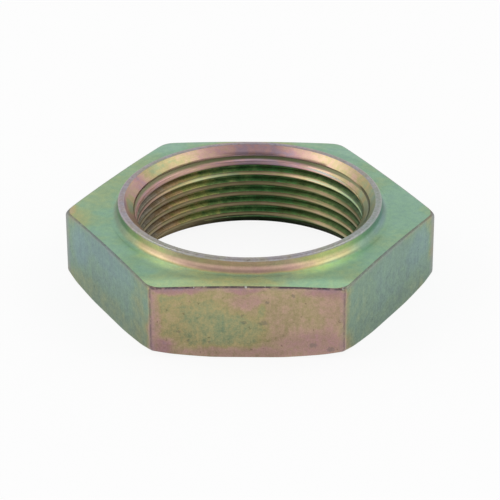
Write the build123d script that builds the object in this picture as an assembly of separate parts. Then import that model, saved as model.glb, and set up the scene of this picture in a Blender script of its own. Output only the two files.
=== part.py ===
"""Thin hexagon lock nut with a left-hand fine thread and a short turned collar.

The nut is one piece of plated steel, in millimetres. +Z runs along the bore and out of the
collar, the origin is the bore's centre on the flat bearing face, and two of the six flats
face -Y and +Y.
"""
from build123d import *
import math
import os

# Hexagon
across_flats = 40.7
hex_height = 9.8
vertical_edge_radius = 0.5

# Upper face: flat round the collar, then a very shallow cone that drops to the corners
top_cone_angle = 5.0

# Lower face: the flat bearing circle reaches a little past the flats, then the corners
# are chamfered
bearing_overrun = 0.2
bottom_chamfer_angle = 15.0

# Collar round the bore's upper mouth
collar_height = 1.7
lip_width = 0.77
lip_edge_radius = 0.25
collar_foot_radius = 0.9

# Left-hand metric fine thread, M30 x 1.5
thread_major_diameter = 30.0
thread_pitch = 1.5
thread_flank_angle = 30.0
root_flat_width = thread_pitch / 8
minor_diameter_allowance = 0.3
thread_start_angle = 36.0

# Countersinks at the bore's two mouths, each wider than the thread's major diameter
top_countersink_overrun = 0.95
bottom_countersink_overrun = 1.2
countersink_angle = 45.0

# The groove's cutter reaches this far into the open bore
cutter_overlap = 0.12

# Sizes that follow from the ones above
flat_radius = across_flats / 2
corner_radius = flat_radius / math.cos(math.radians(30))
bearing_radius = flat_radius + bearing_overrun
nut_height = hex_height + collar_height
sharp_thread_height = thread_pitch * math.cos(math.radians(30))
basic_minor_diameter = thread_major_diameter - 2 * 5 / 8 * sharp_thread_height
major_radius = thread_major_diameter / 2
minor_radius = (basic_minor_diameter + minor_diameter_allowance) / 2
top_mouth_radius = major_radius + top_countersink_overrun
bottom_mouth_radius = major_radius + bottom_countersink_overrun
collar_radius = top_mouth_radius + lip_width


def slope_height(run, angle):
    """Height that a straight slope gains over a horizontal run."""
    return run * math.tan(math.radians(angle))


def turned_ring():
    """Ring with everything a lathe leaves on the nut: faces, cones, collar and countersinks."""
    top_drop = slope_height(corner_radius - flat_radius, top_cone_angle)
    bottom_rise = slope_height(corner_radius - bearing_radius, bottom_chamfer_angle)
    top_depth = slope_height(top_mouth_radius - minor_radius, countersink_angle)
    bottom_depth = slope_height(bottom_mouth_radius - minor_radius, countersink_angle)
    corners = [
        (minor_radius, bottom_depth, 0),
        (bottom_mouth_radius, 0, 0),
        (bearing_radius, 0, 0),
        (corner_radius, bottom_rise, 0),
        (corner_radius, hex_height - top_drop, 0),
        (flat_radius, hex_height, 0),
        (collar_radius, hex_height, collar_foot_radius),
        (collar_radius, nut_height, lip_edge_radius),
        (top_mouth_radius, nut_height, lip_edge_radius),
        (minor_radius, nut_height - top_depth, 0),
    ]
    points = [(radius, height) for radius, height, _ in corners]
    fillets = [fillet for _, _, fillet in corners]
    with BuildPart() as ring:
        with BuildSketch(Plane.XZ):
            with BuildLine():
                FilletPolyline(*points, radius=fillets, close=True)
            make_face()
        revolve(axis=Axis.Z)
    return ring.part


def hexagon_bar():
    """Hexagonal bar with lightly rounded edges, flats facing -Y and +Y."""
    with BuildPart() as bar:
        with BuildSketch():
            RegularPolygon(radius=flat_radius, side_count=6, major_radius=False)
        extrude(amount=nut_height)
        fillet(bar.edges().filter_by(Axis.Z), radius=vertical_edge_radius)
    return bar.part


def groove_turn():
    """One turn of the left-hand thread groove, below the bearing face.

    Its section is a trapezoid with a flat root, and its flanks run on past the bore's wall.
    """
    depth = major_radius - minor_radius + cutter_overlap
    half_root = root_flat_width / 2
    half_mouth = half_root + slope_height(depth, thread_flank_angle)
    path = Helix(
        pitch=thread_pitch,
        height=thread_pitch,
        radius=major_radius,
        center=(0, 0, -thread_pitch),
        lefthand=True,
    )
    section_plane = Plane(origin=path @ 0, x_dir=(1, 0, 0), z_dir=path % 0)
    with BuildPart() as groove:
        with BuildSketch(section_plane):
            with BuildLine():
                Polyline(
                    (0, -half_root),
                    (0, half_root),
                    (-depth, half_mouth),
                    (-depth, -half_mouth),
                    close=True,
                )
            make_face()
        sweep(path=path, is_frenet=True)
    return groove.part.rotate(Axis.Z, thread_start_angle)


def tapped(blank):
    """The blank with the groove cut turn by turn, in at one countersink and out at the other."""
    turn = groove_turn()
    turn_count = math.ceil(nut_height / thread_pitch) + 2
    for step in range(turn_count):
        blank -= turn.moved(Location((0, 0, step * thread_pitch)))
    return blank


def nut_body():
    """The whole nut: the lathe's ring kept inside the hexagonal bar, then tapped."""
    return tapped(turned_ring() & hexagon_bar())


os.makedirs("parts", exist_ok=True)
export_step(nut_body(), "parts/nut_body.step")
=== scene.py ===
"""The looks of a thin hexagon lock nut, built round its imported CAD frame.

The CAD nut is replaced by one detailed mesh with the same sizes, which adds softened edges, a
finished left-hand thread and a tool line at the collar's foot. Pits, dents and chips are in the
materials. Lengths are in millimetres, but the finished mesh and the stage are in metres.
"""

import math

import bmesh
import bpy
from mathutils import Matrix, Vector


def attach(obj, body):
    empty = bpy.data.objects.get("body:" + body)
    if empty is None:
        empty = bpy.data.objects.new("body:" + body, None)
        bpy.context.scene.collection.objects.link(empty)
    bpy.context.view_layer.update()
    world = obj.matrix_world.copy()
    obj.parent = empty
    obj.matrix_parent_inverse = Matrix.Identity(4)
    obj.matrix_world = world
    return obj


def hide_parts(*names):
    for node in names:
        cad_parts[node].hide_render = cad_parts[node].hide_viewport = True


METRES_PER_MM = 0.001

# Hexagon, whose flats stop a micrometre short of the CAD's
FLAT_RADIUS = 20.349
HALF_FLAT = FLAT_RADIUS * math.tan(math.radians(30))
SHARP_CORNER_RADIUS = HALF_FLAT * 2
HEX_HEIGHT = 9.8
CORNER_ROUNDING = 0.5
EDGE_ROUNDING = 0.2
TOP_CONE_SLOPE = math.tan(math.radians(5))
BEARING_RADIUS = 20.55
BOTTOM_CHAMFER_SLOPE = math.tan(math.radians(15))
# The upper and lower edges are rounder at the hexagon's six tips, which begin this far out
TIP_RADIUS = 22.4
TOP_TIP_ROUNDING = 0.7
BOTTOM_TIP_ROUNDING = 0.8
# The level faces end at least this far inside the hexagon's outline
EDGE_MARGIN = 0.3

# Collar, whose top stops a micrometre short of the CAD's too
NUT_HEIGHT = 11.499
COLLAR_RADIUS = 16.72
COLLAR_FOOT_ROUNDING = 0.9
LIP_ROUNDING = 0.25
# The line that the turning tool left where the collar's foot ends
TOOL_LINE_RADIUS = 17.72
TOOL_LINE_START = TOOL_LINE_RADIUS - 0.07
TOOL_LINE_END = TOOL_LINE_RADIUS + 0.07
TOOL_LINE_DEPTH = 0.025

# Bore and thread
MAJOR_RADIUS = 15.0
MINOR_RADIUS = 14.338
PITCH = 1.5
HELIX_START = 36.0
HALF_ROOT = PITCH / 16
FLANK_SLOPE = math.tan(math.radians(30))
HALF_GROOVE = HALF_ROOT + (MAJOR_RADIUS - MINOR_RADIUS) * FLANK_SLOPE
CREST_ROUNDING = 0.28
ROOT_ROUNDING = 0.06
# How far outside the minor radius the rounded crest ends and the flank begins
CREST_FALL = 0.1
TOP_MOUTH_RADIUS = 15.95
BOTTOM_MOUTH_RADIUS = 16.2
MOUTH_ROUNDING = 0.08
# How deep in the upper and the lower mouth the wall of the bore begins
TOP_WALL_START = 0.25
BOTTOM_WALL_START = 0.2
# Height along the thread of the middle of its first crest, counted from the top
FIRST_CREST = 6.5 * PITCH

# Points closer together than this are merged
MERGE_DISTANCE = 0.0005

# The nut's surfaces, each with its own material
ZONES = (
    "countersink",
    "lower_countersink",
    "thread_crest",
    "thread_groove",
    "lip",
    "upper",
    "flats",
    "bearing_face",
)
# A face that points up or down at least this much belongs to the top or the bottom
LEVEL_TOP = 0.99
LEVEL_BOTTOM = 0.96
# A face this close to the cone of a countersink belongs to it
CONE_REACH = 0.01


# ---- The mesh: a closed ring of columns, one for each angle round the bore ----


def column_angles():
    """Angles in degrees, evenly spaced and closer together at the six rounded corners."""
    angles = set(range(360))
    for corner in range(0, 360, 60):
        for offset in (0.2, 0.4, 0.6):
            angles.add((corner + offset) % 360)
            angles.add((corner - offset) % 360)
    return sorted(angles)


def hexagon_radius(angle):
    """Distance from the axis to the hexagon's outline, whose corners are lightly rounded."""
    off_corner = math.radians((angle + 30) % 60 - 30)
    centre = (FLAT_RADIUS - CORNER_ROUNDING) / math.cos(math.radians(30))
    tangent = math.atan2(CORNER_ROUNDING / 2, centre + CORNER_ROUNDING * math.cos(math.radians(30)))
    if abs(off_corner) < tangent:
        across = centre * math.sin(off_corner)
        return centre * math.cos(off_corner) + math.sqrt(CORNER_ROUNDING**2 - across**2)
    return FLAT_RADIUS / math.cos(math.radians(30) - abs(off_corner))


def rounded_path(corners, hold=0.05):
    """Points along a line of corners, each (radius, height, rounding, steps in it, steps after it).

    A long run keeps one point near each end, so that smooth shading stays in the roundings.
    """
    ends = []
    for index, (radius, height, rounding, steps, _) in enumerate(corners):
        here = Vector((radius, height))
        if rounding == 0 or index in (0, len(corners) - 1):
            ends.append([here])
            continue
        back = Vector(corners[index - 1][:2]) - here
        ahead = Vector(corners[index + 1][:2]) - here
        half = back.angle(ahead) / 2
        reach = rounding / math.tan(half)
        inwards = (back.normalized() + ahead.normalized()).normalized()
        centre = here + inwards * rounding / math.sin(half)
        first = here + back.normalized() * reach - centre
        last = here + ahead.normalized() * reach - centre
        sweep = first.angle_signed(last)
        arc = []
        for step in range(steps + 1):
            arc.append(centre + Matrix.Rotation(-sweep * step / steps, 2) @ first)
        ends.append(arc)
    path = []
    for index, arc in enumerate(ends):
        path += arc
        if index + 1 == len(ends):
            break
        start = arc[-1]
        end = ends[index + 1][0]
        steps = corners[index][4]
        shares = [step / steps for step in range(1, steps)]
        length = (end - start).length
        if steps > 2 and length > 6 * hold:
            shares[0] = hold / length
            shares[-1] = 1 - hold / length
        path += [start.lerp(end, share) for share in shares]
    return [tuple(point) for point in path]


def outer_path(angle):
    """From the countersink's upper edge over collar, top, side and bottom to the lower mouth."""
    radius = hexagon_radius(angle)
    top_flat = min(FLAT_RADIUS, radius - EDGE_MARGIN)
    bottom_flat = min(BEARING_RADIUS, radius - EDGE_MARGIN)
    top_edge = HEX_HEIGHT - (radius - FLAT_RADIUS) * TOP_CONE_SLOPE
    bottom_edge = max(0, radius - BEARING_RADIUS) * BOTTOM_CHAMFER_SLOPE
    tip = max(0, radius - TIP_RADIUS) / (SHARP_CORNER_RADIUS - TIP_RADIUS)
    top_rounding = EDGE_ROUNDING + (TOP_TIP_ROUNDING - EDGE_ROUNDING) * tip**4
    bottom_rounding = EDGE_ROUNDING + (BOTTOM_TIP_ROUNDING - EDGE_ROUNDING) * tip
    return rounded_path(
        [
            (TOP_MOUTH_RADIUS - TOP_WALL_START, NUT_HEIGHT - TOP_WALL_START, 0, 0, 3),
            (TOP_MOUTH_RADIUS, NUT_HEIGHT, LIP_ROUNDING, 4, 3),
            (COLLAR_RADIUS, NUT_HEIGHT, LIP_ROUNDING, 6, 5),
            (COLLAR_RADIUS, HEX_HEIGHT, COLLAR_FOOT_ROUNDING, 9, 1),
            (TOOL_LINE_START, HEX_HEIGHT, 0, 0, 1),
            (TOOL_LINE_RADIUS, HEX_HEIGHT - TOOL_LINE_DEPTH, 0, 0, 1),
            (TOOL_LINE_END, HEX_HEIGHT, 0, 0, 12),
            (top_flat, HEX_HEIGHT, 0, 0, 7),
            (radius, top_edge, top_rounding, 4, 30),
            (radius, bottom_edge, bottom_rounding, 4, 7),
            (bottom_flat, 0, 0, 0, 10),
            (BOTTOM_MOUTH_RADIUS, 0, MOUTH_ROUNDING, 3, 3),
            (BOTTOM_MOUTH_RADIUS - BOTTOM_WALL_START, BOTTOM_WALL_START, 0, 0, 1),
        ]
    )


def thread_profile():
    """The thread over one pitch from a groove's middle, as (height, radius) with rounded crests."""
    half = rounded_path(
        [
            (MAJOR_RADIUS, 0, 0, 0, 1),
            (MAJOR_RADIUS, HALF_ROOT, ROOT_ROUNDING, 1, 1),
            (MINOR_RADIUS, HALF_GROOVE, CREST_ROUNDING, 3, 1),
            (MINOR_RADIUS, PITCH / 2, 0, 0, 1),
        ]
    )
    above = [(height, radius) for radius, height in half]
    below = [(-height, radius) for height, radius in above[1:-1]]
    return below[::-1] + above


def cone_radius(height):
    """Radius that the two countersinks leave open at a height."""
    top = TOP_MOUTH_RADIUS - (NUT_HEIGHT - height)
    bottom = BOTTOM_MOUTH_RADIUS - height
    return max(top, bottom)


def inner_path(angle, bottom, top):
    """Countersinks and thread from the lower mouth up, at one angle.

    The rows follow the helix, so a row at 360 degrees has the height of the one a pitch below it
    at 0 degrees. Rows past the wall's ends lie on those ends and are merged later.
    """
    drop = -PITCH * (angle - HELIX_START) / 360
    first_turn = math.floor(bottom / PITCH) - 1
    last_turn = math.ceil(top / PITCH) + 1
    points = []
    for turn in range(first_turn, last_turn + 1):
        for from_groove, thread in thread_profile():
            height = min(top, max(bottom, turn * PITCH + from_groove + drop))
            points.append([height, thread, cone_radius(height)])
    path = [[max(thread, cone), height] for height, thread, cone in points]
    # Where the thread and a countersink cross, the nearest row moves onto the crossing
    for low in range(len(points) - 1):
        gap_low = points[low][1] - points[low][2]
        gap_high = points[low + 1][1] - points[low + 1][2]
        if gap_low * gap_high < 0 and points[low + 1][0] > points[low][0]:
            share = gap_low / (gap_low - gap_high)
            nearest = low if share < 0.5 else low + 1
            height = points[low][0] + share * (points[low + 1][0] - points[low][0])
            if bottom < height < top:
                path[nearest] = [cone_radius(height), height]
    return [tuple(point) for point in path]


def zone_of(radius, height, up):
    """Name of the zone that a face belongs to, from its centre and how far it faces up."""
    if abs(radius - cone_radius(height)) < CONE_REACH:
        return "countersink" if height > HEX_HEIGHT / 2 else "lower_countersink"
    if radius < MINOR_RADIUS + CREST_FALL:
        return "thread_crest"
    if radius < MAJOR_RADIUS:
        return "thread_groove"
    if height > NUT_HEIGHT - LIP_ROUNDING:
        return "lip"
    on_tool_line = radius < TOOL_LINE_END and up > 0
    if height > HEX_HEIGHT or up > LEVEL_TOP or on_tool_line:
        return "upper"
    if up < -LEVEL_BOTTOM or radius < BOTTOM_MOUTH_RADIUS + MOUTH_ROUNDING:
        return "bearing_face"
    return "flats"


def nut_mesh():
    """The nut's surface as one closed mesh, with the zone of each face as its material index."""
    angles = column_angles()
    outer = [outer_path(angle) for angle in angles]
    top = outer[0][0][1]
    bottom = outer[0][-1][1]
    inner = [inner_path(angle, bottom, top) for angle in angles]
    inner_count = len(inner[0])
    outer_count = len(outer[0])
    count = inner_count + outer_count
    rows_per_turn = len(thread_profile())
    vertices = []
    for angle, wall, shell in zip(angles, inner, outer):
        turn = math.radians(angle)
        for radius, height in wall + shell:
            vertices.append((radius * math.cos(turn), radius * math.sin(turn), max(0, height)))
    faces = []
    for column in range(len(angles)):
        following = (column + 1) % len(angles)
        # The last column meets the first one a turn of the helix further down
        shift = rows_per_turn if following == 0 else 0
        for row in range(count):
            above = (row + 1) % count
            corners = []
            for index in (row, above):
                drop = shift if index < inner_count else 0
                corners.append(following * count + max(0, index - drop))
            faces.append((column * count + row, column * count + above, corners[1], corners[0]))
    mesh = bpy.data.meshes.new("hex_nut")
    mesh.from_pydata(vertices, [], faces)
    shape = bmesh.new()
    shape.from_mesh(mesh)
    bmesh.ops.remove_doubles(shape, verts=shape.verts, dist=MERGE_DISTANCE)
    bmesh.ops.dissolve_degenerate(shape, edges=shape.edges, dist=MERGE_DISTANCE)
    bmesh.ops.recalc_face_normals(shape, faces=shape.faces)
    for face in shape.faces:
        centre = face.calc_center_median()
        zone = zone_of(math.hypot(centre.x, centre.y), centre.z, face.normal.z)
        face.material_index = ZONES.index(zone)
    shape.to_mesh(mesh)
    shape.free()
    return mesh


def build_nut():
    """The nut as an object in metres."""
    mesh = nut_mesh()
    mesh.transform(Matrix.Scale(METRES_PER_MM, 4))
    mesh.polygons.foreach_set("use_smooth", [True] * len(mesh.polygons))
    nut = bpy.data.objects.new("hex_nut", mesh)
    bpy.context.collection.objects.link(nut)
    return nut


# ---- Materials: zinc plating whose passivation film changes colour with its thickness, and painted light and shade ----

# Colours of the film from its thinnest to its thickest, as written in a picture (0 to 255)
FILM = (
    (0.0, (116, 134, 152)),
    (0.18, (126, 154, 152)),
    (0.36, (130, 157, 136)),
    (0.5, (146, 156, 121)),
    (0.62, (164, 153, 112)),
    (0.78, (173, 146, 128)),
    (0.9, (164, 130, 128)),
    (1.0, (142, 122, 132)),
)

# The next tables follow the angle round the bore, in degrees from +X. A film is a thickness on the
# scale above, and a shade is painted light and shade, lighter in painted highlights and darker in
# painted shade.

# Upper countersink, whose shade paints the lamps' highlights and darker stretches by angle
BORE_FILM = (
    (0, 0.5), (20, 0.58), (30, 0.72), (40, 0.68), (50, 0.68), (60, 0.83), (70, 0.86),
    (78, 0.93), (90, 0.92), (105, 0.86), (118, 0.74), (130, 0.64), (142, 0.58), (150, 0.68),
    (160, 0.9), (172, 0.82), (182, 0.92), (230, 0.6), (290, 0.75), (330, 0.42), (360, 0.5),
)
BORE_SHADE = (
    (0, 0.36), (12, 0.47), (30, 0.62), (60, 0.72), (69, 0.86), (79, 0.66), (90, 0.66),
    (115, 0.7), (135, 0.53), (150, 0.59), (160, 0.64), (170, 0.51), (182, 0.43), (270, 0.5),
    (360, 0.36),
)

# The thread's first crest from the top, the groove above it and the flank between the two
FIRST_FILM = (
    (0, 0.52), (20, 0.64), (30, 0.76), (50, 0.86), (75, 0.94), (90, 1.0), (105, 0.92),
    (118, 0.78), (130, 0.8), (150, 0.9), (180, 0.88), (360, 0.52),
)
FIRST_SHADE = (
    (0, 0.52), (20, 0.67), (28, 0.78), (40, 0.95), (50, 1.0), (61, 0.64), (74, 0.37),
    (90, 0.25), (104, 0.31), (122, 0.45), (145, 0.49), (180, 0.46), (360, 0.52),
)
ROOT_SHADE = (
    (0, 0.7), (25, 0.85), (45, 0.62), (60, 0.42), (75, 0.33), (95, 0.33), (108, 0.5),
    (125, 0.48), (140, 0.62), (160, 0.75), (360, 0.7),
)
FLANK_SHADE = (
    (0, 0.4), (20, 0.37), (40, 0.25), (52, 0.32), (65, 0.33), (80, 0.46), (95, 0.64),
    (108, 0.4), (122, 0.27), (140, 0.45), (152, 0.39), (180, 0.29), (360, 0.4),
)

# The thread's second crest
SECOND_FILM = (
    (0, 0.4), (20, 0.42), (30, 0.46), (50, 0.63), (70, 0.7), (90, 0.66), (102, 0.5),
    (120, 0.57), (138, 0.62), (152, 0.8), (180, 0.8), (360, 0.4),
)
SECOND_SHADE = (
    (0, 0.6), (28, 0.67), (42, 0.9), (50, 0.97), (60, 0.7), (72, 0.38), (86, 0.21),
    (100, 0.25), (120, 0.6), (132, 0.47), (160, 0.34), (360, 0.6),
)

# The collar's wall and foot, whose shade paints highlights near 230 and 300 degrees
COLLAR_FILM = (
    (0, 0.22), (100, 0.6), (180, 0.42), (195, 0.4), (212, 0.54), (225, 0.7), (240, 0.8),
    (262, 0.8), (285, 0.84), (300, 0.64), (315, 0.56), (330, 0.34), (350, 0.16),
    (360, 0.22),
)
COLLAR_SHADE = (
    (0, 0.42), (90, 0.5), (180, 0.38), (200, 0.46), (215, 0.6), (230, 0.76), (245, 0.58),
    (262, 0.52), (280, 0.56), (292, 0.76), (302, 0.88), (316, 0.7), (330, 0.52), (345, 0.5),
    (360, 0.42),
)

# Colours of the thread's groove by the same angle, painted dark for the shade in the groove
GROOVE_COLOURS = (
    (0, (74, 88, 70)),
    (35, (70, 88, 56)),
    (60, (76, 92, 54)),
    (85, (56, 92, 54)),
    (105, (82, 104, 64)),
    (120, (112, 116, 68)),
    (135, (116, 96, 68)),
    (155, (102, 96, 84)),
    (180, (100, 100, 88)),
    (270, (84, 96, 62)),
    (360, (74, 88, 70)),
)

# Patches of film in the upper countersink: centre, half size, film, share
BORE_PATCHES = (
    ((-15.1, -0.8, 10.5), (0.9, 2.4, 0.6), 0.45, 0.9),
)

# Radius at which the marks in turned rings have the length asked for
RING_RADIUS = 16
# Share of a turn, out of sight, at which bands along the thread begin to sink to the turn below
BAND_SINK_START = 0.62


def linear(colour):
    """A colour as written in a picture (0 to 255) as linear red, green, blue and alpha."""
    shares = []
    for value in colour:
        share = value / 255
        shares.append(share / 12.92 if share < 0.04045 else ((share + 0.055) / 1.055) ** 2.4)
    return (*shares, 1)


def fill_ramp(node, stops):
    """Gives a colour ramp its stops of (position, linear colour)."""
    elements = node.color_ramp.elements
    for index, (position, colour) in enumerate(stops):
        element = elements[index] if index < 2 else elements.new(position)
        element.position = position
        element.color = colour


class Surface:
    """One material and short ways to add nodes to it, with lengths in millimetres.

    The values handed to its functions are sockets or numbers.
    """

    def __init__(self, name):
        self.material = bpy.data.materials.new(name)
        self.material.use_nodes = True
        self.tree = self.material.node_tree
        self.shader = self.tree.nodes["Principled BSDF"]
        self.shader.inputs["Metallic"].default_value = 1
        coordinates = self.tree.nodes.new("ShaderNodeTexCoord")
        self.place = self.vector("SCALE", coordinates.outputs["Object"], scale=1 / METRES_PER_MM)
        self.x, self.y, self.z = self.apart(self.place)
        squares = self.math("ADD", self.math("POWER", self.x, 2), self.math("POWER", self.y, 2))
        self.radius = self.math("SQRT", squares)
        turns = self.math("DIVIDE", self.math("ARCTAN2", self.y, self.x), 2 * math.pi)
        self.turns = self.math("WRAP", turns, 1, 0)
        self.across_flat = self.find_across_flat()

    def put(self, value, socket):
        """Links a socket, or writes a number, into an input."""
        if isinstance(value, bpy.types.NodeSocket):
            self.tree.links.new(value, socket)
        else:
            socket.default_value = value

    def math(self, operation, *values):
        """The result of a math node."""
        node = self.tree.nodes.new("ShaderNodeMath")
        node.operation = operation
        for value, socket in zip(values, node.inputs):
            self.put(value, socket)
        return node.outputs[0]

    def total(self, *values):
        """The sum of several values."""
        result = values[0]
        for value in values[1:]:
            result = self.math("ADD", result, value)
        return result

    def weighted(self, base, *parts):
        """The base and the other values, each given with its weight, added up."""
        result = base
        for value, weight in parts:
            result = self.math("ADD", result, self.math("MULTIPLY", value, weight))
        return result

    def times(self, *values):
        """The product of several values."""
        result = values[0]
        for value in values[1:]:
            result = self.math("MULTIPLY", result, value)
        return result

    def vector(self, operation, first, second=None, scale=None):
        """The result of a vector math node."""
        node = self.tree.nodes.new("ShaderNodeVectorMath")
        node.operation = operation
        self.put(first, node.inputs[0])
        if second is not None:
            self.put(second, node.inputs[1])
        if scale is not None:
            self.put(scale, node.inputs["Scale"])
        return node.outputs[0]

    def apart(self, vector):
        """The three parts of a vector."""
        node = self.tree.nodes.new("ShaderNodeSeparateXYZ")
        self.put(vector, node.inputs[0])
        return node.outputs

    def together(self, x, y, z):
        """A vector from its three parts."""
        node = self.tree.nodes.new("ShaderNodeCombineXYZ")
        for value, socket in zip((x, y, z), node.inputs):
            self.put(value, socket)
        return node.outputs[0]

    def find_across_flat(self):
        """Distance along the nearest flat from its middle, in millimetres either way."""
        folded = self.math("WRAP", self.turns, 1 / 6, 0)
        off_middle = self.math("SUBTRACT", folded, 1 / 12)
        return self.times(self.math("TANGENT", self.times(off_middle, 2 * math.pi)), FLAT_RADIUS)

    def along_thread(self):
        """Height along the thread, a multiple of the pitch in the middle of every groove."""
        return self.total(self.z, self.times(self.turns, PITCH), -PITCH * HELIX_START / 360)

    def band_height(self):
        """The height along the thread, which sinks by a pitch before +X, so that it has no seam."""
        sinking = self.smooth(self.turns, BAND_SINK_START, 1)
        return self.weighted(self.along_thread(), (sinking, -PITCH))

    def above_groove(self):
        """Height above the middle of the groove below, from 0 to one pitch."""
        return self.math("WRAP", self.along_thread(), PITCH, 0)

    def smooth(self, value, start, end):
        """0 before the start, 1 past the end, and a soft step between them."""
        node = self.tree.nodes.new("ShaderNodeMapRange")
        node.interpolation_type = "SMOOTHSTEP"
        for number, socket in zip((value, start, end), node.inputs):
            self.put(number, socket)
        return node.outputs[0]

    def mix(self, share, first, second):
        """A number that goes from the first to the second with the share."""
        node = self.tree.nodes.new("ShaderNodeMix")
        for value, index in zip((share, first, second), (0, 2, 3)):
            self.put(value, node.inputs[index])
        return node.outputs[0]

    def mix_colour(self, share, first, second):
        """A colour that goes from the first to the second with the share."""
        node = self.tree.nodes.new("ShaderNodeMix")
        node.data_type = "RGBA"
        for value, index in zip((share, first, second), (0, 6, 7)):
            self.put(value, node.inputs[index])
        return node.outputs[2]

    def ramp(self, value, stops):
        """A colour that follows a value through stops of (value, linear colour)."""
        node = self.tree.nodes.new("ShaderNodeValToRGB")
        fill_ramp(node, stops)
        self.put(value, node.inputs[0])
        return node.outputs[0]

    def by_angle(self, stops):
        """A number that follows the angle from +X through stops of (degrees, number)."""
        grey = [(degrees / 360, (number, number, number, 1)) for degrees, number in stops]
        return self.ramp(self.turns, grey)

    def noise(self, size, detail=2.0, place=None):
        """Soft noise of a grain size, from about -0.5 to 0.5."""
        node = self.tree.nodes.new("ShaderNodeTexNoise")
        node.inputs["Scale"].default_value = 1 / size
        node.inputs["Detail"].default_value = detail
        self.put(self.place if place is None else place, node.inputs["Vector"])
        return self.math("SUBTRACT", node.outputs[0], 0.5)

    def turned(self, width, length):
        """Noise in rings round the bore, as a turning tool leaves it."""
        around = RING_RADIUS * width / length
        unit = self.together(
            self.times(self.math("DIVIDE", self.x, self.radius), around),
            self.times(self.math("DIVIDE", self.y, self.radius), around),
            self.math("ADD", self.radius, self.z),
        )
        return self.noise(width, 2, unit)

    def streaks(self, width, length):
        """Noise in upright streaks on the flats."""
        return self.noise(1, 2, self.vector("DIVIDE", self.place, (width, width, length)))

    def spots(self, spacing, radius, share):
        """1 in scattered spots of up to a radius and 0 elsewhere; the share is of filled cells."""
        cells = self.tree.nodes.new("ShaderNodeTexVoronoi")
        cells.inputs["Scale"].default_value = 1 / spacing
        wobble = self.vector("SCALE", self.noise_vector(radius * 1.5), scale=radius)
        self.put(self.vector("ADD", self.place, wobble), cells.inputs["Vector"])
        chance, size, _ = self.apart(cells.outputs["Color"])
        here = self.math("LESS_THAN", chance, share)
        reach = self.times(self.math("ADD", self.times(size, 0.7), 0.3), radius / spacing)
        near = self.smooth(self.math("DIVIDE", cells.outputs["Distance"], reach), 1, 0.5)
        return self.times(here, near)

    def noise_vector(self, size):
        """Three noises at once, each from about -1 to 1."""
        node = self.tree.nodes.new("ShaderNodeTexNoise")
        node.inputs["Scale"].default_value = 1 / size
        self.put(self.place, node.inputs["Vector"])
        centred = self.vector("SUBTRACT", node.outputs["Color"], (0.5, 0.5, 0.5))
        return self.vector("SCALE", centred, scale=4)

    def patches(self, film, patches):
        """The film with soft patches of (centre, half size, film there, share) laid on it."""
        wander = self.vector("SCALE", self.noise_vector(2.5), scale=0.45)
        place = self.vector("ADD", self.place, wander)
        for centre, half_size, target, share in patches:
            off = self.vector("DIVIDE", self.vector("SUBTRACT", place, centre), half_size)
            length = self.math("SQRT", self.dot(off, off))
            near = self.times(self.smooth(length, 1.5, 0.5), share)
            film = self.mix(near, film, target)
        return film

    def marks(self, marks):
        """1 inside small ragged marks of (centre, half size), and 0 elsewhere."""
        wander = self.vector("SCALE", self.noise_vector(0.3), scale=0.12)
        place = self.vector("ADD", self.place, wander)
        result = 0
        for centre, half_size in marks:
            off = self.vector("DIVIDE", self.vector("SUBTRACT", place, centre), half_size)
            near = self.smooth(self.math("SQRT", self.dot(off, off)), 1.1, 0.5)
            result = self.math("MAXIMUM", result, near)
        return result

    def dot(self, first, second):
        """The dot product of two vectors."""
        node = self.tree.nodes.new("ShaderNodeVectorMath")
        node.operation = "DOT_PRODUCT"
        self.put(first, node.inputs[0])
        self.put(second, node.inputs[1])
        return node.outputs["Value"]

    def film_colour(self, film, shade):
        """The plating's colour for a film thickness, with light and shade painted in by the shade.
        """
        colour = self.ramp(film, [(position, linear(value)) for position, value in FILM])
        return self.vector("SCALE", colour, scale=shade)

    def finish(self, colour, roughness, relief):
        """The material, with a colour, a roughness and a relief in millimetres on its shader."""
        self.put(colour, self.shader.inputs["Base Color"])
        self.put(roughness, self.shader.inputs["Roughness"])
        bump = self.tree.nodes.new("ShaderNodeBump")
        bump.inputs["Strength"].default_value = 1
        bump.inputs["Distance"].default_value = METRES_PER_MM
        self.put(relief, bump.inputs["Height"])
        self.put(bump.outputs[0], self.shader.inputs["Normal"])
        return self.material


def countersink_material():
    """Gold to rose film with blotches, fine turned rings, a trace of the thread and painted light.
    """
    surface = Surface("countersink")
    rings = surface.turned(0.12, 14)
    blotch = surface.noise(2.4)
    mottle = surface.noise(0.7)
    grain = surface.noise(0.15)
    film = surface.weighted(
        surface.patches(surface.by_angle(BORE_FILM), BORE_PATCHES),
        (blotch, 0.45),
        (mottle, 0.3),
        (rings, 0.15),
    )
    light = surface.weighted(1, (rings, 0.25), (grain, 0.3), (mottle, 0.3))
    # The faint line that the thread leaves at the right, just above the place where it runs out,
    # dented in the relief and painted darker as its shade
    above = surface.above_groove()
    off_groove = surface.math("MINIMUM", above, surface.math("SUBTRACT", PITCH, above))
    trace = surface.times(
        surface.smooth(off_groove, 0.16, 0.06),
        surface.smooth(surface.radius, MAJOR_RADIUS + 0.35, MAJOR_RADIUS + 0.1),
        surface.smooth(surface.z, HEX_HEIGHT - 1, HEX_HEIGHT),
        surface.smooth(surface.x, 13.6, 14.4),
    )
    # At the back the lower edge is painted darker, as shade where it overhangs the thread
    near_edge = surface.smooth(surface.radius, MAJOR_RADIUS + 0.3, MAJOR_RADIUS)
    low_edge = surface.times(near_edge, surface.smooth(surface.y, 14.2, 15.1))
    # Painted light and shade by angle, darkened along the trace and along the lower edge
    shade = surface.times(
        surface.by_angle(BORE_SHADE),
        light,
        2.2,
        surface.weighted(1, (trace, -0.7)),
        surface.mix(low_edge, 1, 0.45),
    )
    roughness = surface.weighted(0.37, (blotch, 0.15), (grain, 0.12))
    relief = surface.weighted(0, (rings, 0.012), (grain, 0.008), (trace, -0.04))
    return surface.finish(surface.film_colour(film, shade), roughness, relief)


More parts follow.
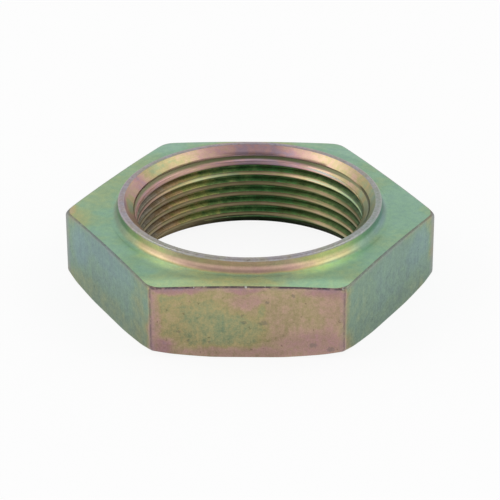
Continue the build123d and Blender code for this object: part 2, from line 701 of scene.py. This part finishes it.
def lower_countersink_material():
    """The countersink underneath: matt, in painted shade, dark green at the back and tan at the
    left.
    """
    surface = Surface("lower_countersink")
    surface.shader.inputs["Metallic"].default_value = 0
    surface.shader.inputs["Specular IOR Level"].default_value = 0
    rings = surface.turned(0.14, 6)
    mottle = surface.noise(1.2)
    across = surface.weighted(surface.x, (mottle, 6))
    at_right = surface.smooth(across, 3, 9)
    at_left = surface.smooth(across, -1.5, -9)
    # Painted shade: the dark green and grey stand for the shade under the nut
    colour = surface.mix_colour(at_right, linear((54, 65, 48)), linear((74, 80, 66)))
    colour = surface.mix_colour(at_left, colour, linear((156, 143, 114)))
    light = surface.weighted(1, (rings, 1.2), (mottle, 0.8))
    relief = surface.times(rings, 0.03)
    return surface.finish(surface.vector("SCALE", colour, scale=light), 0.6, relief)


def crest_material():
    """The thread's crests: rose at the first turn, green at the second, olive and painted dark
    below.
    """
    surface = Surface("thread_crest")
    mottle = surface.noise(1.2)
    streak = surface.turned(0.12, 6)
    height = surface.band_height()
    second_start = FIRST_CREST - PITCH / 2
    third_start = second_start - PITCH
    second = surface.smooth(height, second_start + 0.3, second_start)
    deeper = surface.smooth(height, third_start + 0.3, third_start)
    film = surface.mix(second, surface.by_angle(FIRST_FILM), surface.by_angle(SECOND_FILM))
    film = surface.mix(deeper, film, 0.64)
    film = surface.weighted(film, (mottle, 0.3), (streak, 0.25))
    above = surface.above_groove()
    # Painted light: the first crest is lit on its upper half, the others in their middle, and the
    # deeper crests are painted darker
    first_light = surface.times(
        surface.by_angle(FIRST_SHADE),
        surface.mix(surface.smooth(above, 0.5, 0.95), 2.4, 5.5),
        surface.mix(surface.smooth(above, 1.05, 0.85), 0.45, 1),
    )
    second_light = surface.times(
        surface.by_angle(SECOND_SHADE),
        surface.mix(surface.smooth(above, 0.45, 0.7), 0.4, 1),
        surface.mix(surface.smooth(above, 1.04, 0.82), 0.28, 1),
        4.2,
    )
    deep_light = surface.times(
        surface.mix(surface.by_angle(FIRST_SHADE), 0.14, 1.4),
        surface.mix(surface.smooth(above, 0.45, 0.7), 0.45, 1),
        surface.mix(surface.smooth(above, 1.1, 0.85), 0.5, 1),
    )
    light = surface.mix(deeper, surface.mix(second, first_light, second_light), deep_light)
    shade = surface.times(light, surface.weighted(1, (streak, 0.8), (mottle, 0.4)))
    roughness = surface.weighted(0.45, (mottle, 0.2))
    relief = surface.weighted(0, (streak, 0.02), (surface.noise(0.12), 0.008))
    return surface.finish(surface.film_colour(film, shade), roughness, relief)


def groove_material():
    """The thread's flanks and roots: film in painted shade, green at the back and brown at the
    left.
    """
    surface = Surface("thread_groove")
    mottle = surface.noise(1.2)
    streak = surface.turned(0.14, 4)
    grain = surface.noise(0.2)
    stops = [(degrees / 360, linear(value)) for degrees, value in GROOVE_COLOURS]
    colour = surface.ramp(surface.weighted(surface.turns, (mottle, 0.15)), stops)
    # Painted light and shade: the flank that faces up is painted lighter towards the crest below
    # it, and the root stays dark. The groove is painted darker where it runs out into the lower
    # countersink.
    above = surface.above_groove()
    towards_crest = surface.smooth(above, PITCH - 0.1, PITCH - HALF_GROOVE)
    light = surface.times(
        surface.mix(towards_crest, 0.92, 2.1),
        surface.weighted(1, (mottle, 1.2), (streak, 1.6), (grain, 1.2)),
        surface.mix(surface.smooth(surface.z, 2.2, 1.8), 1, 0.6),
    )
    colour = surface.vector("SCALE", colour, scale=light)
    # Above the first crest the groove is brown, with painted shade by angle and painted lighter on
    # the flank that faces down
    first = surface.smooth(surface.band_height(), FIRST_CREST - 0.15, FIRST_CREST + 0.15)
    facing_down = surface.times(
        surface.smooth(above, 0.02, 0.14),
        surface.smooth(above, 0.6, 0.5),
        surface.smooth(surface.y, 14.6, 13.2),
    )
    brown_light = surface.times(surface.by_angle(ROOT_SHADE), surface.mix(facing_down, 1, 2.8), 3)
    brown = surface.vector("SCALE", linear((101, 101, 78))[:3], scale=brown_light)
    colour = surface.mix_colour(surface.times(first, 0.8), colour, brown)
    # Next to the first crest the groove has the crest's rose film, painted as lit as the crest
    film = surface.weighted(surface.by_angle(FIRST_FILM), (mottle, 0.3))
    lit_and_grained = surface.weighted(4, (mottle, 1.6), (streak, 2.4))
    rose = surface.film_colour(film, surface.times(surface.by_angle(FLANK_SHADE), lit_and_grained))
    next_to_crest = surface.times(first, surface.smooth(above, 1.26, 1.08))
    colour = surface.mix_colour(next_to_crest, colour, rose)
    roughness = surface.weighted(0.5, (grain, 0.3))
    relief = surface.weighted(0, (grain, 0.015), (streak, 0.03))
    return surface.finish(colour, roughness, relief)


def lip_material():
    """The collar's lip: rubbed lilac grey with a coarse grain."""
    surface = Surface("lip")
    grain = surface.noise(0.3, 3)
    mottle = surface.noise(1.4)
    film = surface.weighted(surface.by_angle(BORE_FILM), (mottle, 0.5))
    rubbed = surface.weighted(0.62, (mottle, 0.8), (grain, 0.6))
    colour = surface.mix_colour(rubbed, surface.film_colour(film, 1.15), linear((166, 168, 178)))
    dark = surface.spots(1.1, 0.24, 0.6)
    light = surface.weighted(1.02, (grain, 0.9), (dark, -0.35))
    roughness = surface.weighted(0.42, (grain, 0.2))
    relief = surface.weighted(0, (grain, 0.03), (dark, -0.015))
    return surface.finish(surface.vector("SCALE", colour, scale=light), roughness, relief)


# Patches of film on the top face: x, y, half size along each, film, share
TOP_PATCHES = (
    (-22.4, -2.4, 2.4, 2.8, 0.58, 0.9),
    (-23.2, 0.2, 1.1, 1.6, 0.76, 0.8),
    (-20.0, 4.0, 2.6, 3.6, 0.48, 0.8),
    (-17.0, 9.5, 2.4, 4.0, 0.48, 0.6),
    (-14.0, 13.5, 2.2, 2.6, 0.5, 0.5),
    (20.0, 1.0, 4.0, 7.0, 0.3, 0.9),
    (22.6, 0.4, 1.0, 1.6, 0.42, 0.8),
    (12.0, 17.5, 3.0, 3.0, 0.28, 0.7),
    (-12.0, 18.5, 3.0, 2.0, 0.28, 0.7),
    (-9.0, -19.0, 5.0, 2.0, 0.46, 0.9),
    (-1.5, -19.6, 6.0, 1.4, 0.55, 0.9),
    (8.5, -18.6, 4.0, 2.0, 0.38, 0.9),
    (13.0, -17.6, 1.6, 1.8, 0.46, 0.7),
    (18.5, -9.0, 1.6, 3.0, 0.4, 0.6),
    (0.0, 19.0, 5.0, 1.6, 0.84, 0.7),
)
# How far above and below the face they reach
TOP_PATCH_REACH = 2


def upper_material():
    """The collar's wall and foot and the hexagon's top face, whose films run into each other."""
    surface = Surface("upper")
    mottle = surface.noise(3.0)
    fine = surface.noise(0.8)
    grain = surface.noise(0.16)
    rings = surface.turned(0.14, 20)
    patches = [
        ((x, y, HEX_HEIGHT), (half_x, half_y, TOP_PATCH_REACH), target, share)
        for x, y, half_x, half_y, target, share in TOP_PATCHES
    ]
    top_film = surface.patches(surface.weighted(0.37, (mottle, 0.3)), patches)
    top_film = surface.weighted(top_film, (fine, 0.16))
    wall_film = surface.weighted(surface.by_angle(COLLAR_FILM), (mottle, 0.25))
    foot_middle = COLLAR_RADIUS + 0.23
    on_foot = surface.smooth(surface.radius, COLLAR_RADIUS + 0.02, foot_middle)
    on_top = surface.smooth(surface.radius, foot_middle, TOOL_LINE_RADIUS - 0.17)
    film = surface.mix(on_top, wall_film, top_film)
    # Painted light and shade: the collar's highlights by angle, and a top face painted lighter than
    # the flats
    collar_shade = surface.times(surface.by_angle(COLLAR_SHADE), surface.mix(on_foot, 2.5, 2.0))
    # In front of the collar the top face is painted lighter, and again along the front flat
    front = surface.smooth(surface.y, -8, -16)
    near_collar = surface.times(front, surface.smooth(surface.radius, 19.4, 17.6))
    near_front = surface.smooth(surface.y, -17.5, -19.2)
    top_shade = surface.weighted(1.42, (near_collar, 1.05), (near_front, 0.55))
    shade = surface.mix(on_top, collar_shade, top_shade)
    wall_rings = surface.times(rings, surface.math("SUBTRACT", 1, on_top))
    light = surface.weighted(1, (fine, 0.3), (grain, 0.4), (wall_rings, 0.25))
    roughness = surface.weighted(0.4, (mottle, 0.15), (grain, 0.1))
    relief = surface.weighted(0, (grain, 0.006), (rings, 0.006), (fine, 0.012))
    colour = surface.film_colour(film, surface.times(shade, light))
    # The film on the level faces is a purer green
    greener = surface.vector("MULTIPLY", colour, (0.95, 1.04, 0.95))
    return surface.finish(surface.mix_colour(on_top, colour, greener), roughness, relief)


# A hair inside the front flat
FRONT_Y = -20.3

# Patches of film on the flats: centre, half size, film, share
FLAT_PATCHES = (
    # The front flat: gold and olive at the left, tan at the right, rose round the rim
    ((0.0, FRONT_Y, 5.0), (11.0, 2, 5.5), 0.73, 0.95),
    ((-8.6, FRONT_Y, 5.6), (2.4, 4, 3.4), 0.62, 0.9),
    ((-4.6, FRONT_Y, 4.8), (3.0, 4, 3.6), 0.55, 0.9),
    ((-1.2, FRONT_Y, 3.8), (3.4, 4, 2.4), 0.52, 0.8),
    ((0.0, FRONT_Y, 7.8), (1.8, 4, 0.9), 0.82, 0.8),
    ((1.6, FRONT_Y, 6.4), (0.6, 4, 1.0), 0.55, 0.7),
    ((-0.3, FRONT_Y, 9.2), (2.2, 4, 0.4), 0.92, 0.7),
    ((10.4, FRONT_Y, 6.0), (1.6, 4, 4.0), 0.79, 0.9),
    ((8.4, FRONT_Y, 2.0), (4.0, 4, 1.9), 0.88, 0.9),
    ((0.0, FRONT_Y, 0.6), (11.0, 4, 0.8), 0.84, 0.8),
    ((-10.4, FRONT_Y, 1.5), (1.7, 4, 1.3), 0.92, 0.9),
    ((-11.2, FRONT_Y, 6.0), (0.7, 4, 5.0), 0.82, 0.8),
    ((-8.6, FRONT_Y, 9.3), (3.2, 4, 0.5), 0.92, 0.8),
    ((9.4, FRONT_Y, 8.9), (2.6, 4, 0.7), 0.92, 0.7),
    # The left flat: green towards the bottom, teal above, blue at the far end
    ((-17.6, -10.2, 5.0), (7.0, 9.5, 7.0), 0.29, 0.95),
    ((-17.6, -10.2, 8.2), (7.0, 9.5, 2.0), 0.21, 0.9),
    ((-21.6, -4.0, 6.0), (1.6, 3.0, 2.8), 0.17, 0.9),
    ((-17.6, -10.2, 1.6), (7.0, 9.5, 2.0), 0.43, 0.9),
    ((-12.8, -18.6, 9.2), (1.6, 2.6, 1.0), 0.42, 0.8),
    # The right flat: green at the front, teal towards the back
    ((17.6, -10.2, 5.0), (7.0, 9.5, 7.0), 0.29, 0.95),
    ((21.4, -4.0, 6.5), (2.2, 4.0, 2.6), 0.22, 0.9),
    ((13.8, -16.6, 5.0), (2.6, 4.0, 6.0), 0.37, 0.9),
    ((17.6, -10.2, 1.2), (6.0, 8.5, 1.6), 0.37, 0.8),
)

# Small dents in the front flat: x, z, half size along each
FRONT_DENTS = (
    (-0.6, 5.8, 0.2, 0.2),
    (-0.4, 4.9, 0.45, 0.26),
    (1.9, 4.8, 0.75, 0.34),
    (-8.3, 3.6, 0.26, 0.2),
    (-7.2, 2.4, 0.22, 0.2),
    (-4.6, 2.2, 0.2, 0.2),
    (2.4, 7.7, 0.3, 0.2),
    (5.5, 8.6, 0.26, 0.24),
    (8.0, 1.8, 0.6, 0.4),
    (10.1, 1.2, 0.6, 0.4),
)
# How far behind and before the flat they reach
DENT_REACH = 1
# Light chips at the front flat's upper edge and corners: centre, half size
EDGE_CHIPS = (
    ((-11.5, -20.2, HEX_HEIGHT), (0.3, 0.5, 0.16)),
    ((-5.2, FRONT_Y, HEX_HEIGHT), (0.14, 0.5, 0.12)),
    ((-0.2, FRONT_Y, HEX_HEIGHT), (0.2, 0.5, 0.16)),
    ((2.2, FRONT_Y, HEX_HEIGHT), (0.12, 0.5, 0.1)),
    ((11.5, -20.2, 9.7), (0.22, 0.5, 0.3)),
)


def flats_film(surface, on_front, rim, mottle, speckle, streak):
    """Thickness of the film on the flats, calmer at the back and thicker along the rim."""
    blotch = surface.noise(5.0, 1)
    at_back = surface.smooth(surface.y, 0, 3)
    film = surface.weighted(
        surface.mix(at_back, 0.5, 0.42), (blotch, surface.mix(at_back, 0.9, 0.5))
    )
    return surface.weighted(
        surface.patches(film, FLAT_PATCHES),
        (mottle, 0.2),
        (speckle, surface.mix(on_front, 0.06, 0.2)),
        (streak, 0.08),
        (rim, surface.mix(on_front, 0.02, 0.1)),
    )


def flats_pits(surface, off_corner):
    """1 inside the flats' small pits, which are closer together near the corners."""
    near_corner = surface.smooth(off_corner, 1.6, 0.3)
    at_corners = surface.times(surface.spots(0.5, 0.16, 0.5), near_corner)
    pits = surface.math("MAXIMUM", surface.spots(1.0, 0.2, 0.5), surface.spots(0.6, 0.12, 0.4))
    return surface.math("MAXIMUM", pits, at_corners)


def flats_wear(surface, on_front, below_top, off_corner, mottle, speckle):
    """The ragged dark line along the flats' upper and upright edges, and the nicks in them."""
    ragged = surface.weighted(0, (mottle, 0.3), (speckle, 0.25))
    worn = surface.smooth(surface.total(mottle, speckle), -0.3, 0.1)
    top_line = surface.times(
        surface.smooth(surface.total(below_top, ragged), 0.3, 0.1),
        worn,
        surface.mix(on_front, 0.45, 0.9),
    )
    near_corner = surface.smooth(surface.total(off_corner, ragged), 0.36, 0.0)
    corner_line = surface.times(near_corner, worn, 0.6)
    from_edge = surface.math("MINIMUM", below_top, off_corner)
    nicks = surface.times(surface.smooth(from_edge, 0.3, 0.1), surface.spots(2.2, 0.28, 0.3))
    return (
        surface.math("MAXIMUM", top_line, corner_line),
        surface.math("MAXIMUM", nicks, surface.marks(EDGE_CHIPS)),
    )


def flats_material():
    """The hexagon's sides: blotched film with dents, pits, upright streaks and worn edges."""
    surface = Surface("flats")
    mottle = surface.noise(1.1, 3)
    speckle = surface.noise(0.45, 3)
    grain = surface.noise(0.16)
    streak = surface.streaks(0.35, 6)
    on_front = surface.smooth(surface.y, FRONT_Y + 0.5, FRONT_Y + 0.2)
    # Distances from the upper edge and from the nearest corner
    off_circle = surface.math("SUBTRACT", surface.radius, FLAT_RADIUS)
    below_top = surface.weighted(HEX_HEIGHT, (off_circle, -TOP_CONE_SLOPE), (surface.z, -1))
    off_corner = surface.math("SUBTRACT", HALF_FLAT, surface.math("ABSOLUTE", surface.across_flat))
    from_edge = surface.math("MINIMUM", below_top, off_corner)
    rim = surface.smooth(surface.weighted(from_edge, (mottle, 1.2)), 0.8, 0.0)
    film = flats_film(surface, on_front, rim, mottle, speckle, streak)
    pits = flats_pits(surface, off_corner)
    dents = surface.marks(
        [((x, FRONT_Y, z), (half_x, DENT_REACH, half_z)) for x, z, half_x, half_z in FRONT_DENTS]
    )
    line, nicks = flats_wear(surface, on_front, below_top, off_corner, mottle, speckle)
    # Painted shade and light: darker towards the bottom, least at the right of the front flat,
    # darker on the side flats than on the front, and a little lighter at the far left and right
    off_middle = surface.math("ABSOLUTE", surface.x)
    far_out = surface.smooth(off_middle, 19.5, 22.5)
    front_right = surface.times(on_front, surface.smooth(surface.x, 3, 7))
    low = surface.times(surface.smooth(surface.z, 8.0, 0.6), surface.mix(front_right, 1, 0.35))
    light = surface.weighted(
        surface.mix(on_front, 0.93, 1.05),
        (far_out, 0.1),
        (low, -0.24),
        (streak, 0.16),
        (mottle, 0.5),
        (speckle, 0.45),
        (grain, 0.5),
        (pits, -0.22),
    )
    # The corners at the far left and right are rubbed grey, most of all at the top
    tip = surface.times(
        surface.smooth(off_middle, 22.85, 23.25),
        surface.mix(surface.smooth(below_top, 1.2, 0.5), 0.55, 0.85),
    )
    colour = surface.film_colour(film, light)
    for share, over in (
        (surface.times(rim, 0.2), (178, 160, 168)),
        (tip, (150, 151, 152)),
        (surface.times(dents, 0.4), (92, 98, 92)),
        (line, (88, 78, 86)),
        (surface.times(nicks, 0.8), (226, 226, 220)),
    ):
        colour = surface.mix_colour(share, colour, linear(over))
    roughness = surface.weighted(0.42, (mottle, 0.2), (pits, 0.15))
    relief = surface.weighted(0, (streak, 0.006), (grain, 0.012), (pits, -0.02), (dents, -0.04))
    return surface.finish(colour, roughness, relief)


def bearing_material():
    """The underside: faced flat, with fine rings, scuffs and a mottled film."""
    surface = Surface("bearing_face")
    rings = surface.turned(0.2, 30)
    mottle = surface.noise(3.5)
    grain = surface.noise(0.16)
    scuffs = surface.spots(2.6, 0.5, 0.35)
    film = surface.weighted(0.5, (mottle, 0.9), (rings, 0.1))
    light = surface.weighted(1.2, (rings, 0.4), (grain, 0.2), (scuffs, -0.25))
    roughness = surface.weighted(0.38, (scuffs, 0.15))
    relief = surface.weighted(0, (rings, 0.012), (grain, 0.004))
    return surface.finish(surface.film_colour(film, light), roughness, relief)


# ---- Stage, in metres and degrees ----

# The camera's place round the middle of the hexagon's top face
CAMERA_DISTANCE = 0.311861
CAMERA_ELEVATION = 26.911
CAMERA_AZIMUTH = 1.014
# How far below that middle it aims, and how much it is rolled
CAMERA_TILT = 0.93374
CAMERA_ROLL = 0.195
# Its lens and sensor in millimetres
CAMERA_LENS = 176.9213
SENSOR_WIDTH = 36

FLOOR_HALF_SIZE = 1.5
# The floor lies a hair below the nut, so that the two faces don't share a plane
FLOOR_LEVEL = -0.00002
FLOOR_WHITE = 0.95
# How much of the floor is plain white to the camera and in reflections; the rest shows shadows
FLOOR_GLOW = 0.9

LAMP_SIZE = 0.22


def add_camera():
    """The camera, looking down on the nut from the front, with a long lens."""
    elevation = math.radians(CAMERA_ELEVATION)
    azimuth = math.radians(CAMERA_AZIMUTH)
    tilt = math.radians(CAMERA_TILT)
    roll = math.radians(CAMERA_ROLL)
    target = Vector((0, 0, HEX_HEIGHT * METRES_PER_MM))
    out = Vector(
        (
            math.sin(azimuth) * math.cos(elevation),
            -math.cos(azimuth) * math.cos(elevation),
            math.sin(elevation),
        )
    )
    right = Vector((math.cos(azimuth), math.sin(azimuth), 0))
    forward = -out
    up = right.cross(forward)
    # Tilted down, then rolled
    forward, up = (
        forward * math.cos(tilt) - up * math.sin(tilt),
        up * math.cos(tilt) + forward * math.sin(tilt),
    )
    right, up = (
        right * math.cos(roll) - up * math.sin(roll),
        up * math.cos(roll) + right * math.sin(roll),
    )
    camera = bpy.data.cameras.new("camera")
    camera.sensor_width = SENSOR_WIDTH
    camera.lens = CAMERA_LENS
    camera.clip_start = 0.01
    holder = bpy.data.objects.new("camera", camera)
    placing = Matrix((right, up, -forward)).transposed().to_4x4()
    placing.translation = target + out * CAMERA_DISTANCE
    holder.matrix_world = placing
    bpy.context.collection.objects.link(holder)
    bpy.context.scene.camera = holder


def add_floor():
    """A wide white floor that keeps the nut's shadow, white to the camera and in reflections."""
    mesh = bpy.data.meshes.new("floor")
    corners = []
    for x, y in ((-1, -1), (1, -1), (1, 1), (-1, 1)):
        corners.append((x * FLOOR_HALF_SIZE, y * FLOOR_HALF_SIZE, FLOOR_LEVEL))
    mesh.from_pydata(corners, [], [(0, 1, 2, 3)])
    floor = bpy.data.objects.new("floor", mesh)
    bpy.context.collection.objects.link(floor)
    material = bpy.data.materials.new("floor")
    material.use_nodes = True
    tree = material.node_tree
    tree.nodes.clear()
    output = tree.nodes.new("ShaderNodeOutputMaterial")
    lit = tree.nodes.new("ShaderNodeBsdfDiffuse")
    lit.inputs["Color"].default_value = (FLOOR_WHITE, FLOOR_WHITE, FLOOR_WHITE, 1)
    glow = tree.nodes.new("ShaderNodeEmission")
    glow.inputs["Strength"].default_value = 1
    rays = tree.nodes.new("ShaderNodeLightPath")
    seen = rays.outputs["Is Camera Ray"]
    for ray in ("Is Glossy Ray", "Is Transmission Ray"):
        either = tree.nodes.new("ShaderNodeMath")
        either.operation = "MAXIMUM"
        tree.links.new(seen, either.inputs[0])
        tree.links.new(rays.outputs[ray], either.inputs[1])
        seen = either.outputs[0]
    share = tree.nodes.new("ShaderNodeMath")
    share.operation = "MULTIPLY"
    share.inputs[1].default_value = FLOOR_GLOW
    tree.links.new(seen, share.inputs[0])
    mix = tree.nodes.new("ShaderNodeMixShader")
    tree.links.new(share.outputs[0], mix.inputs[0])
    tree.links.new(lit.outputs[0], mix.inputs[1])
    tree.links.new(glow.outputs[0], mix.inputs[2])
    tree.links.new(mix.outputs[0], output.inputs["Surface"])
    mesh.materials.append(material)


def add_world():
    """A pale surround, bright near the horizon and dim overhead."""
    world = bpy.data.worlds.new("surround")
    bpy.context.scene.world = world
    world.use_nodes = True
    tree = world.node_tree
    background = tree.nodes["Background"]
    background.inputs["Strength"].default_value = 1
    direction = tree.nodes.new("ShaderNodeTexCoord")
    parts = tree.nodes.new("ShaderNodeSeparateXYZ")
    tree.links.new(direction.outputs["Generated"], parts.inputs[0])
    ramp = tree.nodes.new("ShaderNodeValToRGB")
    levels = ((0.1, 1), (0.6, 0.75), (0.95, 0.5))
    fill_ramp(ramp, [(position, (level, level, level, 1)) for position, level in levels])
    tree.links.new(parts.outputs["Z"], ramp.inputs["Fac"])
    tree.links.new(ramp.outputs["Color"], background.inputs["Color"])


def add_lamp(name, place, power):
    """A square soft lamp, aimed at the nut."""
    light = bpy.data.lights.new(name, "AREA")
    light.size = LAMP_SIZE
    light.energy = power
    lamp = bpy.data.objects.new(name, light)
    lamp.location = place
    lamp.rotation_euler = Vector(place).to_track_quat("Z", "Y").to_euler()
    bpy.context.collection.objects.link(lamp)


def main():
    """Builds everything round the loaded frame."""
    nut = build_nut()
    # In the order of the zones
    for material in (
        countersink_material(),
        lower_countersink_material(),
        crest_material(),
        groove_material(),
        lip_material(),
        upper_material(),
        flats_material(),
        bearing_material(),
    ):
        nut.data.materials.append(material)
    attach(nut, "root")
    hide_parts("nut_body")
    add_camera()
    add_floor()
    add_world()
    add_lamp("left_softbox", (-0.3, 0.0, 0.28), 0.25)
    add_lamp("right_softbox", (0.3, 0.0, 0.3), 0.23)


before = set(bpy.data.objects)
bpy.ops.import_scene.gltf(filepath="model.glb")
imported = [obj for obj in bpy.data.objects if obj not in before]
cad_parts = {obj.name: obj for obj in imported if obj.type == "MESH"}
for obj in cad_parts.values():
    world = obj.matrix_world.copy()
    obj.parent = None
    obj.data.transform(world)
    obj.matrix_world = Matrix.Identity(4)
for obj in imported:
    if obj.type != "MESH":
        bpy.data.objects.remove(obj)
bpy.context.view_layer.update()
bpy.context.scene.view_settings.view_transform = "Standard"
main()
